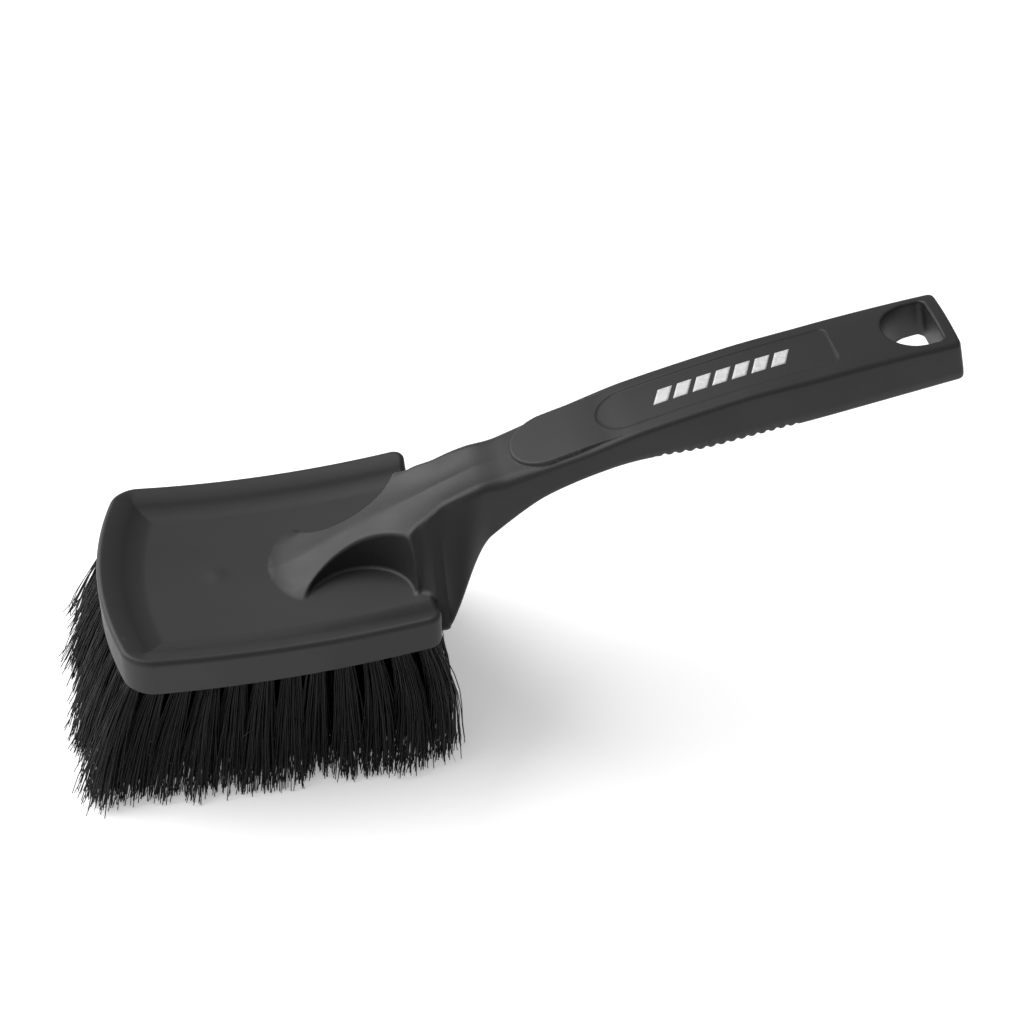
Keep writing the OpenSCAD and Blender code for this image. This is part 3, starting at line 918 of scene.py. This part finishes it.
def make_bristles(material):
    for row in range(1, ROWS + 1):
        rng = np.random.default_rng(100 + row)
        lines = filament_lines(row, rng)
        sets = [(lines, FILAMENT_RADIUS, 0.75), (flag_lines(lines, rng), FLAG_RADIUS, 0.6)]
        if row == 5:
            sets.append((stray_line(), STRAY_RADIUS, 0.8))
        verts, faces, count = [], [], 0
        for part, radius, taper in sets:
            v, f = tubes(part, radius, taper)
            verts.append(v)
            faces.append(f + count)
            count += len(v)
        obj = mesh_from(f"bristle_row_{row}", to_row(np.concatenate(verts)), np.concatenate(faces))
        obj.data.materials.append(material)
        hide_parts(f"tuft_row_{row}")
        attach(obj, "root")


# ---------------------------------------------------------------- studio
# Metres and watts in the row frame; the aim point is in design millimetres
FLOOR_HALF = 6.0
FLOOR_STEPS = 24
FLOOR_GLOW = 0.29
VIEW_AZIMUTH = math.radians(-10.4)
VIEW_ELEVATION = math.radians(38.8)
VIEW_DISTANCE = 0.7554
VIEW_LENS = 79.1
SENSOR_WIDTH = 36.0
AIM = (131.5, -1.3, 9.7)
WORLD_LIGHT = 0.42
KEY_LIGHT = 24.0
KEY_PLACE = (-0.85, 0.50, 0.95)
KEY_SIZE = (1.3, 1.3)
FILL_LIGHT = 1.8
FILL_PLACE = (-1.1, -0.9, 0.8)
FILL_SIZE = (0.9, 0.9)


def make_floor(material, z):
    """A wide flat floor at height z, for the render only."""
    row = FLOOR_STEPS + 1
    grid = np.linspace(-FLOOR_HALF, FLOOR_HALF, row)
    verts = [(x, y, z) for x in grid for y in grid]
    corners = [i * row + j for i in range(FLOOR_STEPS) for j in range(FLOOR_STEPS)]
    faces = [(c, c + row, c + row + 1, c + 1) for c in corners]
    obj = mesh_from("floor", np.array(verts), np.array(faces))
    obj.data.materials.append(material)
    return obj


def add_area(name, place, aim, size, power):
    """A rectangular soft light at place, turned towards aim."""
    data = bpy.data.lights.new(name, "AREA")
    data.shape = "RECTANGLE"
    data.size, data.size_y = size
    data.energy = power
    obj = bpy.data.objects.new(name, data)
    obj.location = place
    obj.rotation_euler = (Vector(aim) - Vector(place)).to_track_quat("-Z", "Y").to_euler()
    bpy.context.scene.collection.objects.link(obj)
    return obj


def make_studio(centre):
    """World, two soft lights and the camera."""
    scene = bpy.context.scene
    scene.view_settings.view_transform = "Standard"
    world = bpy.data.worlds.new("studio")
    scene.world = world
    world.use_nodes = True
    world.node_tree.nodes["Background"].inputs["Color"].default_value = (1, 1, 1, 1)
    world.node_tree.nodes["Background"].inputs["Strength"].default_value = WORLD_LIGHT
    add_area("key", KEY_PLACE, centre, KEY_SIZE, KEY_LIGHT)
    add_area("fill", FILL_PLACE, centre, FILL_SIZE, FILL_LIGHT)
    back = Vector((math.sin(VIEW_AZIMUTH) * math.cos(VIEW_ELEVATION),
                   -math.cos(VIEW_AZIMUTH) * math.cos(VIEW_ELEVATION),
                   math.sin(VIEW_ELEVATION)))
    camera = bpy.data.cameras.new("camera")
    camera.lens = VIEW_LENS
    camera.sensor_width = SENSOR_WIDTH
    camera.clip_start = 0.01
    obj = bpy.data.objects.new("camera", camera)
    aim = Vector(to_row(AIM))
    obj.location = aim + back * VIEW_DISTANCE
    obj.rotation_euler = (-back).to_track_quat("-Z", "Y").to_euler()
    scene.collection.objects.link(obj)
    scene.camera = obj


make_body(body_plastic())
make_mark(printed_white())
make_bristles(bristle_plastic())
wire = drawn_wire()
for node_name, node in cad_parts.items():
    if node_name.startswith("anchor_row"):
        node.data.materials.clear()
        node.data.materials.append(wire)
box_centre = [(a + b) / 2 for a, b in zip(*CAD_BOX)]
make_floor(studio_floor(), CAD_BOX[0][2])
make_studio(box_centre)
